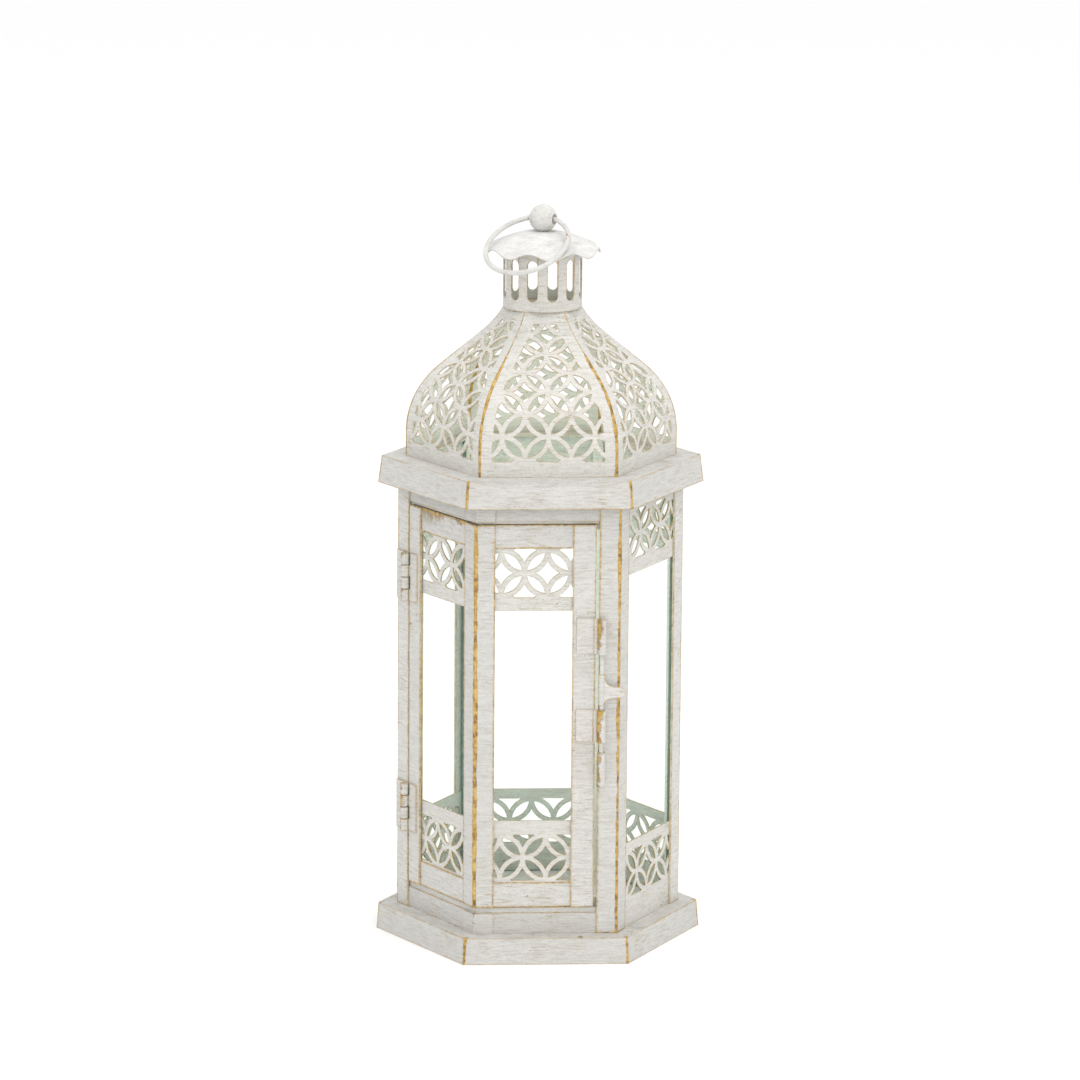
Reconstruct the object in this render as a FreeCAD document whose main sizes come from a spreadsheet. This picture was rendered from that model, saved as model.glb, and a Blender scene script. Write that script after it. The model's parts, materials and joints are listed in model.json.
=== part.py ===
import FreeCAD, Part
import math
import os
import Sketcher

# Six-sided sheet-metal candle lantern.
# Millimetres, +Z up, origin at the centre of the base rim's underside.
# The front face looks along -Y. The hexagon's corners lie at 0, 60, 120 ... degrees
# from +X. The door wraps the corner at -120 degrees: it covers the front face and
# the face to its left, hangs on the corner post at 180 degrees and latches on the
# corner post at -60 degrees.

os.makedirs("parts", exist_ok=True)
doc = FreeCAD.newDocument("candle_lantern")
sheet = doc.addObject("Spreadsheet::Sheet", "dims")

SIZES = [
    ("sheet_thickness", 0.8, "folded sheet of posts, stiles, base and roof tray"),
    ("panel_thickness", 0.6, "pierced panels and rails"),
    ("glass_thickness", 2.0, "window glass"),
    ("base_overhang", 8.7, "base skirt's bottom edge beyond the body, at a corner"),
    ("base_ledge_overhang", 7.8, "base skirt's top edge beyond the body, at a corner"),
    ("base_height", 11.0, "base underside to floor plate top"),
    ("base_hem", 4.0, "width of the hem folded in at the skirt's foot"),
    ("body_corner_radius", 59.0, "outer corner of the posts"),
    ("body_height", 190.5, "floor plate top to roof tray top"),
    ("collar_skirt_height", 11.3, "roof tray skirt"),
    ("collar_overhang", 8.4, "roof tray skirt's bottom edge beyond the body, at a corner"),
    ("collar_ledge_overhang", 6.9, "roof tray skirt's top edge beyond the body, at a corner"),
    ("collar_opening_radius", 50.0, "opening in the roof tray, centre to corner"),
    ("post_flange", 8.15, "width of each post flange"),
    ("latch_post_flange", 8.5, "flange of the latch post on the front face"),
    ("latch_stile_width", 9.5, "door stile on the latch side"),
    ("hinge_stile_width", 8.6, "door stile on the hinge side"),
    ("stile_back_flange", 3.5, "flange of the stile channel behind the glass"),
    ("latch_gap", 1.3, "gap between latch stile and latch post"),
    ("hinge_gap", 0.6, "gap between hinge stile and hinge post"),
    ("slip", 0.3, "clearance of a panel end inside its channel"),
    ("sill_height", 8.6, "lower rail of the door frame"),
    ("head_drop", 17.15, "upper rail of the door frame"),
    ("door_gap_low", 2.6, "gap under the door"),
    ("door_gap_high", 1.3, "gap over the door"),
    ("door_rail_low", 10.4, "door's lower rail"),
    ("door_rail_high", 9.8, "door's upper rail"),
    ("door_panel_low", 36.4, "height of the door's lower pierced panel"),
    ("door_panel_high", 35.7, "height of the door's upper pierced panel"),
    ("side_panel_low", 35.7, "height of the lower pierced panel of a fixed side"),
    ("side_panel_high", 41.1, "height of the upper pierced panel of a fixed side"),
    ("panel_side_inset", 1.7, "panel edge to hexagon corner, along the face"),
    ("glass_side_inset", 1.2, "glass edge to hexagon corner, along the face"),
    ("circle_radius", 9.4, "radius of the overlapping circles of the pattern"),
    ("bar_width", 2.0, "width of the pattern's bars"),
    ("field_margin", 0.75, "how far the pattern field runs past a whole circle"),
    ("field_side", 5.5, "pattern field to hexagon corner, along the face"),
    ("field_low", 20.8, "pattern centre above door's lower edge"),
    ("field_high", 20.1, "pattern centre below door's upper edge"),
    ("side_field_low", 21.8, "pattern centre above the floor plate"),
    ("side_field_high", 25.0, "pattern centre below the roof tray"),
    ("field_half_low", 9.6, "half height of the lower pattern fields"),
    ("came_flange", 3.0, "glazing strip flange"),
    ("came_web", 1.0, "glazing strip web between two panes"),
    ("stop_height", 14.0, "door stop standing on the floor plate"),
    ("stop_inset", 8.0, "door stop's end to the far corner"),
    ("head_stop_lap", 4.0, "upper door stop below the frame's upper rail"),
    ("stop_clearance", 0.3, "door stop behind the closed door"),
    ("hinge_length", 20.3, "length of a hinge"),
    ("hinge_barrel_radius", 1.65, "hinge knuckle"),
    ("hinge_pin_radius", 0.8, "hinge pin"),
    ("hinge_axis_stand_off", 2.0, "hinge axis in front of the face"),
    ("hinge_leaf_thickness", 0.8, "hinge leaf"),
    ("hinge_post_leaf", 8.0, "axis to edge of the leaf on the post"),
    ("hinge_door_leaf", 6.9, "axis to edge of the leaf on the door"),
    ("hinge_low", 22.0, "lower hinge above the door's lower edge"),
    ("hinge_high", 20.0, "upper hinge below the door's upper edge"),
    ("knuckle_gap", 0.25, "gap between knuckles"),
    ("pin_clearance", 0.08, "radial clearance of pins in their bores"),
    ("latch_axis_inset", 7.4, "bolt axis from the latch post's corner, along the face"),
    ("latch_axis_stand_off", 2.5, "bolt axis in front of the face"),
    ("latch_barrel_radius", 1.75, "bolt guide barrel"),
    ("bolt_radius", 0.8, "bolt"),
    ("latch_plate_thickness", 0.8, "latch plates"),
    ("latch_plate_width", 7.9, "latch plates"),
    ("guide_high_length", 14.8, "upper guide"),
    ("guide_low_length", 13.6, "lower guide"),
    ("guide_high_drop", 38.4, "top of upper guide below the door's upper edge"),
    ("guide_low_drop", 76.5, "top of lower guide below the door's upper edge"),
    ("keeper_gap", 4.4, "keeper top below the lower guide"),
    ("keeper_length", 14.0, "keeper barrel on the post"),
    ("keeper_radius", 1.7, "keeper barrel"),
    ("bolt_throw", 7.7, "depth of the bolt in the keeper"),
    ("lever_sleeve_radius", 1.15, "boss of the thumb lever"),
    ("lever_flare_high", 4.8, "upper hollow curve of the thumb lever"),
    ("lever_flare_low", 2.6, "lower hollow curve of the thumb lever"),
    ("lever_flare_width", 3.0, "reach of the hollow curves"),
    ("lever_root", 5.2, "height of the tongue at its root"),
    ("lever_reach", 9.7, "bolt axis to tip of the thumb lever"),
    ("lever_tip", 4.0, "height of the tongue at its tip"),
    ("lever_thickness", 1.3, "thickness of the lever's tongue"),
    ("lever_drop", 8.4, "lever top below the upper guide"),
    ("dome_corner_radius", 55.9, "dome foot, centre to corner"),
    ("dome_wall", 10.5, "upright part of a dome gore"),
    ("dome_shoulder_radius", 38.0, "dome shoulder"),
    ("dome_slope", 43.0, "angle of the straight part, degrees"),
    ("dome_throat_slope", 62.0, "angle at the dome's top, degrees"),
    ("dome_rise", 62.0, "roof tray to dome top"),
    ("dome_top_radius", 16.2, "dome top, centre to corner"),
    ("dome_foot", 4.0, "foot flange of a gore"),
    ("gore_border", 5.2, "plain border along a gore's edges"),
    ("gore_plain_foot", 6.4, "plain band at a gore's foot"),
    ("gore_plain_top", 5.5, "plain band at a gore's top"),
    ("gore_first_row", 16.5, "first row of nodes above the dome's foot"),
    ("neck_radius", 16.2, "vent neck"),
    ("neck_height", 25.5, "vent neck"),
    ("neck_foot_opening", 11.5, "radius of the opening in the neck's foot"),
    ("slot_width", 4.3, "vent slot"),
    ("slot_count", 12.0, "vent slots"),
    ("slot_low", 4.3, "slot's lower end above the dome top"),
    ("slot_high", 4.5, "slot's upper end below the neck's top"),
    ("slot_turn", 11.6, "first slot from the front, degrees"),
    ("cap_radius", 23.6, "cap"),
    ("cap_thickness", 0.6, "cap"),
    ("cap_rise", 7.4, "cap crown above the mean rim"),
    ("cap_wave", 1.4, "height of the rim's waves"),
    ("cap_lobes", 8.0, "waves round the rim"),
    ("cap_turn", 5.2, "first low lobe from the front, degrees"),
    ("cap_stand_off", 5.2, "cap underside above the neck's top plate"),
    ("stem_radius", 3.0, "stem between neck and cap"),
    ("bead_radius", 5.7, "finial bead"),
    ("bead_seat", 0.55, "bead's flat seat, cut into the sphere"),
    ("bead_hole_radius", 2.1, "cross hole in the bead"),
    ("ring_wire_radius", 1.0, "ring wire"),
    ("ring_radius", 17.4, "ring, to the middle of the wire"),
    ("ring_play", 0.8, "wire in the hole, off the hole's axis"),
    ("ring_turn", -31.4, "direction the ring lies in, from the front, degrees"),
    ("ring_droop", 33.3, "slope of the resting ring below level, degrees"),
]

VALUE = {}
for row, (alias, value, note) in enumerate(SIZES, start=1):
    sheet.set("A%d" % row, alias.replace("_", " "))
    sheet.set("B%d" % row, str(value))
    sheet.set("C%d" % row, note)
    sheet.setAlias("B%d" % row, alias)
    VALUE[alias] = value
doc.recompute()


def dim(alias):
    """A driving dimension, read back from the sheet."""
    return float(sheet.get(alias))


def vec(x, y, z=0.0):
    return FreeCAD.Vector(x, y, z)


Z_AXIS = vec(0, 0, 1)
COS30 = "cos(30 deg)"
TAN30 = "tan(30 deg)"

# Levels, as expressions of the sheet's values.
Z_FLOOR = "dims.base_height"
Z_ROOF = "(dims.base_height + dims.body_height)"
Z_UNDER_ROOF = "(%s - dims.sheet_thickness)" % Z_ROOF
Z_DOOR_LOW = "(dims.base_height + dims.sill_height + dims.door_gap_low)"
Z_HEAD = "(%s - dims.head_drop)" % Z_UNDER_ROOF
Z_DOOR_HIGH = "(%s - dims.door_gap_high)" % Z_HEAD
Z_DOME_TOP = "(%s + dims.dome_rise)" % Z_ROOF
Z_NECK_TOP = "(%s + dims.neck_height)" % Z_DOME_TOP
Z_CAP_UNDER = "(%s + dims.cap_stand_off)" % Z_NECK_TOP
Z_CAP_TOP = "(%s + dims.cap_thickness)" % Z_CAP_UNDER
Z_BEAD = "(%s + dims.bead_radius - dims.bead_seat)" % Z_CAP_TOP

# Distances of the layers from the lantern's axis, outside to inside.
A_FACE = "(dims.body_corner_radius * %s)" % COS30
A_BEHIND_POST = "(%s - dims.sheet_thickness)" % A_FACE
A_SIDE_GLASS = "(%s - dims.panel_thickness)" % A_BEHIND_POST
A_SIDE_CAME = "(%s - dims.glass_thickness)" % A_SIDE_GLASS
A_DOOR_PANEL = "(%s - dims.panel_thickness)" % A_BEHIND_POST
A_DOOR_GLASS = "(%s - dims.panel_thickness)" % A_DOOR_PANEL
A_DOOR_CAME = "(%s - dims.glass_thickness)" % A_DOOR_GLASS
A_STOP = "(%s - dims.sheet_thickness - dims.stop_clearance)" % A_DOOR_CAME
HALF_FACE = "(dims.body_corner_radius / 2)"

# Door edges along their faces, measured from the face's middle.
X_LATCH_EDGE = "(%s - dims.latch_post_flange - dims.latch_gap)" % HALF_FACE
X_HINGE_EDGE = "(%s - dims.post_flange - dims.hinge_gap)" % HALF_FACE
X_LATCH_STACK = "(%s - dims.sheet_thickness - dims.slip)" % X_LATCH_EDGE
X_HINGE_STACK = "(%s - dims.sheet_thickness - dims.slip)" % X_HINGE_EDGE

FRONT, LEFT, RIGHT, BACK_RIGHT, BACK, BACK_LEFT = 0, -60, 60, 120, 180, 240
nodes = []


def number(expression):
    """The value of one of the expressions above."""
    total = sheet.evalExpression(expression)
    return float(getattr(total, "Value", total))


def publish(obj, label):
    """Name a finished sub-part."""
    obj.Label = label
    nodes.append(obj)
    return obj


def on_face(obj, face, x, away, z):
    """Stand an object on a face: x along it, away from the axis, z up."""
    obj.Placement = FreeCAD.Placement(vec(0, 0, 0), FreeCAD.Rotation(Z_AXIS, face))
    turn = "%d deg" % face
    obj.setExpression("Placement.Base.x", "cos(%s) * (%s) + sin(%s) * (%s)" % (turn, x, turn, away))
    obj.setExpression("Placement.Base.y", "sin(%s) * (%s) - cos(%s) * (%s)" % (turn, x, turn, away))
    obj.setExpression("Placement.Base.z", z)
    return obj


def slab(name, face, x_low, x_high, away, thickness, z_low, z_high):
    """A plate on a face whose outer surface is `away` from the axis."""
    box = doc.addObject("Part::Box", name)
    box.setExpression("Length", "(%s) - (%s)" % (x_high, x_low))
    box.setExpression("Width", thickness)
    box.setExpression("Height", "(%s) - (%s)" % (z_high, z_low))
    return on_face(box, face, x_low, away, z_low)


def rod(name, face, x, away, radius, z_low, z_high):
    """An upright round bar in front of a face."""
    bar = doc.addObject("Part::Cylinder", name)
    bar.setExpression("Radius", radius)
    bar.setExpression("Height", "(%s) - (%s)" % (z_high, z_low))
    return on_face(bar, face, x, away, z_low)


def fuse(name, shapes):
    joined = doc.addObject("Part::MultiFuse", name)
    joined.Shapes = shapes
    joined.Refine = True
    return joined


def cut(name, base, tool):
    result = doc.addObject("Part::Cut", name)
    result.Base = base
    result.Tool = tool
    return result


def hexagon(name, radius, z):
    outline = doc.addObject("Part::RegularPolygon", name)
    outline.Polygon = 6
    outline.setExpression("Circumradius", radius)
    outline.setExpression("Placement.Base.z", z)
    return outline


def hex_frustum(name, radius_low, z_low, radius_high, z_high):
    loft = doc.addObject("Part::Loft", name)
    loft.Sections = [hexagon(name + "_low", radius_low, z_low), hexagon(name + "_high", radius_high, z_high)]
    loft.Solid = True
    loft.Ruled = True
    return loft


def hex_prism(name, radius, z_low, z_high):
    prism = doc.addObject("Part::Prism", name)
    prism.Polygon = 6
    prism.setExpression("Circumradius", radius)
    prism.setExpression("Height", "(%s) - (%s)" % (z_high, z_low))
    prism.setExpression("Placement.Base.z", z_low)
    return prism


def origin_plane(body, role):
    for feature in body.Origin.OriginFeatures:
        if feature.Role == role:
            return feature


def bent_strip(name, corner, away, flange_a, flange_b, thickness, z_low, z_high):
    """Sheet folded round a hexagon corner. Its outer faces are `away` from the axis.

    flange_a runs counter-clockwise from the corner, flange_b clockwise.
    """
    radius = "(%s) / %s" % (away, COS30)
    body = doc.addObject("PartDesign::Body", name)
    sketch = body.newObject("Sketcher::SketchObject", name + "_section")
    sketch.AttachmentSupport = [(origin_plane(body, "XY_Plane"), "")]
    sketch.MapMode = "FlatFace"
    r, a, b, t = number(radius), number(flange_a), number(flange_b), number(thickness)
    along_a = vec(-0.5, math.sqrt(3) / 2)
    along_b = vec(-0.5, -math.sqrt(3) / 2)
    in_a = vec(-math.sqrt(3) / 2, -0.5)
    in_b = vec(-math.sqrt(3) / 2, 0.5)
    corner_point = vec(r, 0)
    end_a = corner_point + along_a * a
    end_b = corner_point + along_b * b
    inner = vec(r - t / math.cos(math.radians(30)), 0)
    points = [corner_point, end_a, end_a + in_a * t, inner, end_b + in_b * t, end_b]
    for index in range(6):
        sketch.addGeometry(Part.LineSegment(points[index], points[(index + 1) % 6]), False)
    rule = Sketcher.Constraint
    for index in range(6):
        sketch.addConstraint(rule("Coincident", index, 2, (index + 1) % 6, 1))
    sketch.addConstraint(rule("PointOnObject", 0, 1, -1))
    at_radius = sketch.addConstraint(rule("DistanceX", -1, 1, 0, 1, r))
    sketch.addConstraint(rule("Angle", 0, math.radians(120)))
    at_a = sketch.addConstraint(rule("Distance", 0, a))
    sketch.addConstraint(rule("Perpendicular", 0, 1))
    at_ta = sketch.addConstraint(rule("Distance", 1, t))
    sketch.addConstraint(rule("Parallel", 0, 2))
    sketch.addConstraint(rule("Parallel", 5, 3))
    at_b = sketch.addConstraint(rule("Distance", 5, b))
    sketch.addConstraint(rule("Angle", 0, 1, 5, 2, math.radians(120)))
    at_tb = sketch.addConstraint(rule("Distance", 4, t))
    sketch.addConstraint(rule("Perpendicular", 5, 4))
    for at, size in ((at_radius, radius), (at_a, flange_a), (at_ta, thickness), (at_b, flange_b), (at_tb, thickness)):
        sketch.setExpression("Constraints[%d]" % at, size)
    pad = body.newObject("PartDesign::Pad", name + "_pad")
    pad.Profile = sketch
    pad.setExpression("Length", "(%s) - (%s)" % (z_high, z_low))
    sketch.Visibility = False
    body.Placement = FreeCAD.Placement(vec(0, 0, 0), FreeCAD.Rotation(Z_AXIS, corner))
    body.setExpression("Placement.Base.z", z_low)
    return body


# ---- base tray: flared skirt, floor plate and a hem folded in at the foot
SKIRT_OFFSET = "(dims.sheet_thickness / %s)" % COS30
R_BASE_FOOT = "(dims.body_corner_radius + dims.base_overhang)"
R_BASE_LEDGE = "(dims.body_corner_radius + dims.base_ledge_overhang)"
R_COLLAR_LIP = "(dims.body_corner_radius + dims.collar_overhang)"
R_COLLAR_LEDGE = "(dims.body_corner_radius + dims.collar_ledge_overhang)"
base_solid = hex_frustum("base_solid", R_BASE_FOOT, "0", R_BASE_LEDGE, Z_FLOOR)
base_void = hex_frustum(
    "base_void",
    "%s - %s" % (R_BASE_FOOT, SKIRT_OFFSET),
    "dims.sheet_thickness",
    "%s - %s" % (R_BASE_LEDGE, SKIRT_OFFSET),
    "dims.base_height - dims.sheet_thickness",
)
base_shell = cut("base_shell", base_solid, base_void)
base_hem_opening = hex_prism(
    "base_hem_opening",
    "%s - %s - dims.base_hem / %s" % (R_BASE_FOOT, SKIRT_OFFSET, COS30),
    "-1 * dims.sheet_thickness",
    "2 * dims.sheet_thickness",
)
publish(cut("base_tray_cut", base_shell, base_hem_opening), "base_tray")

# ---- roof tray: ledge plate with an opening, skirt flaring down over the body
Z_COLLAR_LIP = "(%s - dims.collar_skirt_height)" % Z_ROOF
collar_solid = hex_frustum("collar_solid", R_COLLAR_LIP, Z_COLLAR_LIP, R_COLLAR_LEDGE, Z_ROOF)
collar_void = hex_frustum(
    "collar_void",
    "%s - %s" % (R_COLLAR_LIP, SKIRT_OFFSET),
    Z_COLLAR_LIP,
    "%s - %s" % (R_COLLAR_LEDGE, SKIRT_OFFSET),
    Z_UNDER_ROOF,
)
collar_shell = cut("collar_shell", collar_solid, collar_void)
collar_opening = hex_prism(
    "collar_opening",
    "dims.collar_opening_radius",
    "%s - 2 * dims.sheet_thickness" % Z_ROOF,
    "%s + dims.sheet_thickness" % Z_ROOF,
)
publish(cut("roof_tray_cut", collar_shell, collar_opening), "roof_tray")

# ---- corner posts between the two trays
POSTS = (("hinge_post", 180), ("post_back_left", 120), ("post_back_right", 60), ("post_right", 0), ("latch_post", -60))
for label, corner in POSTS:
    clockwise_flange = "dims.latch_post_flange" if label == "latch_post" else "dims.post_flange"
    post = bent_strip(
        label + "_body", corner, A_FACE, "dims.post_flange", clockwise_flange, "dims.sheet_thickness",
        Z_FLOOR, Z_UNDER_ROOF,
    )
    publish(post, label)

# ---- glazing strips: a V behind the panes and a web between them, one per fixed post
for label, corner in POSTS:
    name = label.replace("post", "glazing_strip")
    fold = bent_strip(
        name + "_fold", corner, A_SIDE_CAME, "dims.came_flange", "dims.came_flange", "dims.sheet_thickness",
        Z_FLOOR, Z_UNDER_ROOF,
    )
    web = doc.addObject("Part::Box", name + "_web")
    web.setExpression(
        "Length", "(%s - %s) / %s - dims.came_web / 2 * %s + dims.sheet_thickness / 2"
        % (A_BEHIND_POST, A_SIDE_CAME, COS30, TAN30),
    )
    web.setExpression("Width", "dims.came_web")
    web.setExpression("Height", "%s - %s" % (Z_UNDER_ROOF, Z_FLOOR))
    web.Placement = FreeCAD.Placement(vec(0, 0, 0), FreeCAD.Rotation(Z_AXIS, corner))
    start = "(%s / %s - dims.sheet_thickness / 2)" % (A_SIDE_CAME, COS30)
    web.setExpression("Placement.Base.x", "cos(%d deg) * %s + sin(%d deg) * dims.came_web / 2" % (corner, start, corner))
    web.setExpression("Placement.Base.y", "sin(%d deg) * %s - cos(%d deg) * dims.came_web / 2" % (corner, start, corner))
    web.setExpression("Placement.Base.z", Z_FLOOR)
    publish(fuse(name + "_fuse", [fold, web]), name)

# ---- door frame: bent rails behind the posts, each with a short corner stub in front
# and a lip behind it that closes the gap to the door
A_LIP = "(%s - dims.panel_thickness)" % A_BEHIND_POST
LIP_REACH = "(%s * %s + %s - 2 * dims.panel_side_inset)" % (A_LIP, TAN30, HALF_FACE)
RAIL_REACH = "(%s * %s + %s - dims.panel_side_inset)" % (A_BEHIND_POST, TAN30, HALF_FACE)
for label, z_low, z_high, lip_low, lip_high in (
    ("frame_sill", Z_FLOOR, "(dims.base_height + dims.sill_height)", Z_FLOOR, "(%s - dims.slip)" % Z_DOOR_LOW),
    ("frame_head", Z_HEAD, Z_UNDER_ROOF, "(%s + dims.slip)" % Z_DOOR_HIGH, Z_UNDER_ROOF),
):
    rail = bent_strip(
        label + "_rail", -120, A_BEHIND_POST, RAIL_REACH, RAIL_REACH, "dims.panel_thickness", z_low, z_high,
    )
    stub = bent_strip(
        label + "_stub", -120, A_FACE, "dims.post_flange", "dims.post_flange", "dims.sheet_thickness",
        z_low, z_high,
    )
    lip = bent_strip(
        label + "_lip", -120, A_LIP, LIP_REACH, LIP_REACH, "dims.panel_thickness", lip_low, lip_high,
    )
    publish(fuse(label + "_fuse", [rail, stub, lip]), label)
STOP_REACH = "(%s * %s + %s - dims.stop_inset)" % (A_STOP, TAN30, HALF_FACE)
for label, z_low, z_high in (
    ("door_stop_lower", Z_FLOOR, "(dims.base_height + dims.stop_height)"),
    ("door_stop_upper", "(%s - dims.head_stop_lap)" % Z_HEAD, Z_UNDER_ROOF),
):
    stop = bent_strip(
        label + "_body", -120, A_STOP, STOP_REACH, STOP_REACH, "dims.sheet_thickness", z_low, z_high,
    )
    publish(stop, label)


# ---- the pierced pattern: overlapping circles on a diagonal grid
def disc(x, y, radius):
    edge = Part.makeCircle(radius, vec(x, y), Z_AXIS)
    return Part.Face(Part.Wire([edge]))


def pattern_holes(x_range, y_range, first):
    """Petal and diamond openings about the origin, as flat faces.

    first is 0 when a diamond sits on the origin, 1 when four petals meet there.
    """
    r = dim("circle_radius")
    half_bar = dim("bar_width") / 2
    columns = int(math.ceil(x_range / r)) + 1
    rows = int(math.ceil(y_range / r)) + 1
    petals, diamonds = [], []
    for i in range(-columns, columns + 1):
        for j in range(-rows, rows + 1):
            if (i + j) % 2 != first:
                continue
            x, y = i * r, j * r
            for side in (1, -1):
                a = disc(x, y, r - half_bar)
                b = disc(x + r, y + side * r, r - half_bar)
                petals.append(a.common(b))
            middle = disc(x, y, r - half_bar)
            around = [disc(x + p * r, y + q * r, r + half_bar) for p in (1, -1) for q in (1, -1)]
            diamonds.append(middle.cut(around))
    return petals + diamonds


def clipped(holes, field, smallest):
    """Keep the parts of the openings that lie inside a field."""
    kept = []
    for hole in holes:
        for face in hole.common(field).Faces:
            if face.Area > smallest:
                kept.append(face)
    return kept


def rectangle(x_low, x_high, y_low, y_high):
    corners = [vec(x_low, y_low), vec(x_high, y_low), vec(x_high, y_high), vec(x_low, y_high), vec(x_low, y_low)]
    return Part.Face(Part.makePolygon(corners))


def pierced_panel(label, face, x_low, x_high, away, z_low, z_high, z_field, half_height, field_side):
    """A plate whose pattern field is centred on the face's middle line."""
    plate = slab(label + "_plate", face, x_low, x_high, away, "dims.panel_thickness", z_low, z_high)
    width = number("dims.body_corner_radius / 2")
    depth = number("dims.panel_thickness")
    low = max(number(x_low) + dim("bar_width"), -width + field_side)
    high = min(number(x_high) - dim("bar_width"), width - field_side)
    field = rectangle(low, high, -half_height, half_height)
    holes = clipped(pattern_holes(width, half_height, 0), field, 0.8)
    prisms = Part.makeCompound([hole.extrude(vec(0, 0, 3 * depth)) for hole in holes])
    cutter = doc.addObject("Part::Feature", label + "_openings")
    cutter.Shape = prisms
    # the flat pattern's x runs along the face, its y up the lantern
    stand_up = FreeCAD.Rotation(vec(1, 0, 0), 90)
    turn = FreeCAD.Rotation(Z_AXIS, face)
    at = turn.multVec(vec(0, -(number(away) - 2 * depth), number(z_field)))
    cutter.Placement = FreeCAD.Placement(at, turn.multiply(stand_up))
    publish(cut(label + "_cut", plate, cutter), label)


# ---- fixed sides: upper and lower pierced panel, a pane behind them
full_half = dim("circle_radius") + dim("field_margin")
PANEL_EDGE = "(%s * %s - dims.panel_side_inset)" % (A_SIDE_GLASS, TAN30)
GLASS_EDGE = "(%s * %s - dims.glass_side_inset)" % (A_SIDE_CAME, TAN30)
SIDES = (("right", RIGHT), ("back_right", BACK_RIGHT), ("back", BACK), ("back_left", BACK_LEFT))
for side, face in SIDES:
    low_edge, high_edge = "(-1 * %s)" % PANEL_EDGE, PANEL_EDGE
    pierced_panel(
        "lower_panel_" + side, face, low_edge, high_edge, A_BEHIND_POST,
        Z_FLOOR, "(%s + dims.side_panel_low)" % Z_FLOOR,
        "%s + dims.side_field_low" % Z_FLOOR, dim("field_half_low"), dim("field_side"),
    )
    pierced_panel(
        "upper_panel_" + side, face, low_edge, high_edge, A_BEHIND_POST,
        "(%s - dims.side_panel_high)" % Z_UNDER_ROOF, Z_UNDER_ROOF,
        "%s - dims.side_field_high" % Z_UNDER_ROOF, full_half, dim("field_side"),
    )
    pane = slab(
        "glass_%s_box" % side, face, "(-1 * %s)" % GLASS_EDGE, GLASS_EDGE, A_SIDE_GLASS,
        "dims.glass_thickness", Z_FLOOR, "(%s - dims.slip)" % Z_UNDER_ROOF,
    )
    publish(pane, "glass_" + side)

# ---- door: bent corner post, two channel stiles, bent rails, panels, panes, glazing strip
corner_post = bent_strip(
    "door_corner_body", -120, A_FACE, "dims.post_flange", "dims.post_flange", "dims.sheet_thickness",
    Z_DOOR_LOW, Z_DOOR_HIGH,
)
publish(corner_post, "door_corner_post")


def channel_stile(label, face, edge, width, sign):
    """A stile folded into a channel that holds the ends of rails, panel and pane."""
    def between(name, near, far, away, thickness):
        low, high = (near, far) if sign > 0 else ("(-1 * %s)" % far, "(-1 * %s)" % near)
        return slab(name, face, low, high, away, thickness, Z_DOOR_LOW, Z_DOOR_HIGH)
    outer = between(label + "_front", "(%s - %s)" % (edge, width), edge, A_FACE, "dims.sheet_thickness")
    web = between(
        label + "_web", "(%s - dims.sheet_thickness)" % edge, edge, A_FACE,
        "(%s - %s + dims.sheet_thickness)" % (A_FACE, A_DOOR_CAME),
    )
    inner = between(label + "_back", "(%s - dims.stile_back_flange)" % edge, edge, A_DOOR_CAME, "dims.sheet_thickness")
    publish(fuse(label + "_fuse", [outer, web, inner]), label)


channel_stile("door_latch_stile", FRONT, X_LATCH_EDGE, "dims.latch_stile_width", 1)
channel_stile("door_hinge_stile", LEFT, X_HINGE_EDGE, "dims.hinge_stile_width", -1)

REACH_LATCH = "(%s * %s + %s)" % (A_BEHIND_POST, TAN30, X_LATCH_STACK)
REACH_HINGE = "(%s * %s + %s)" % (A_BEHIND_POST, TAN30, X_HINGE_STACK)
for label, z_low, z_high in (
    ("door_rail_lower", Z_DOOR_LOW, "(%s + dims.door_rail_low)" % Z_DOOR_LOW),
    ("door_rail_upper", "(%s - dims.door_rail_high)" % Z_DOOR_HIGH, Z_DOOR_HIGH),
):
    rail = bent_strip(
        label + "_body", -120, A_BEHIND_POST, REACH_LATCH, REACH_HINGE, "dims.panel_thickness", z_low, z_high,
    )
    publish(rail, label)

DOOR_PANEL_CORNER = "(%s * %s - dims.panel_side_inset)" % (A_DOOR_GLASS, TAN30)
DOOR_GLASS_CORNER = "(%s * %s - dims.glass_side_inset)" % (A_DOOR_CAME, TAN30)
for side, face, panel_low, panel_high, glass_low, glass_high in (
    ("front", FRONT, "(-1 * %s)" % DOOR_PANEL_CORNER, X_LATCH_STACK,
     "(-1 * %s)" % DOOR_GLASS_CORNER, X_LATCH_STACK),
    ("left", LEFT, "(-1 * %s)" % X_HINGE_STACK, DOOR_PANEL_CORNER,
     "(-1 * %s)" % X_HINGE_STACK, DOOR_GLASS_CORNER),
):
    pierced_panel(
        "door_panel_lower_" + side, face, panel_low, panel_high, A_DOOR_PANEL,
        Z_DOOR_LOW, "(%s + dims.door_panel_low)" % Z_DOOR_LOW,
        "%s + dims.field_low" % Z_DOOR_LOW, dim("field_half_low"), dim("field_side"),
    )
    pierced_panel(
        "door_panel_upper_" + side, face, panel_low, panel_high, A_DOOR_PANEL,
        "(%s - dims.door_panel_high)" % Z_DOOR_HIGH, Z_DOOR_HIGH,
        "%s - dims.field_high" % Z_DOOR_HIGH, full_half, dim("field_side"),
    )
    pane = slab(
        "door_glass_%s_box" % side, face, glass_low, glass_high, A_DOOR_GLASS, "dims.glass_thickness",
        "(%s + dims.slip)" % Z_DOOR_LOW, "(%s - dims.slip)" % Z_DOOR_HIGH,
    )
    publish(pane, "door_glass_" + side)

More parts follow.
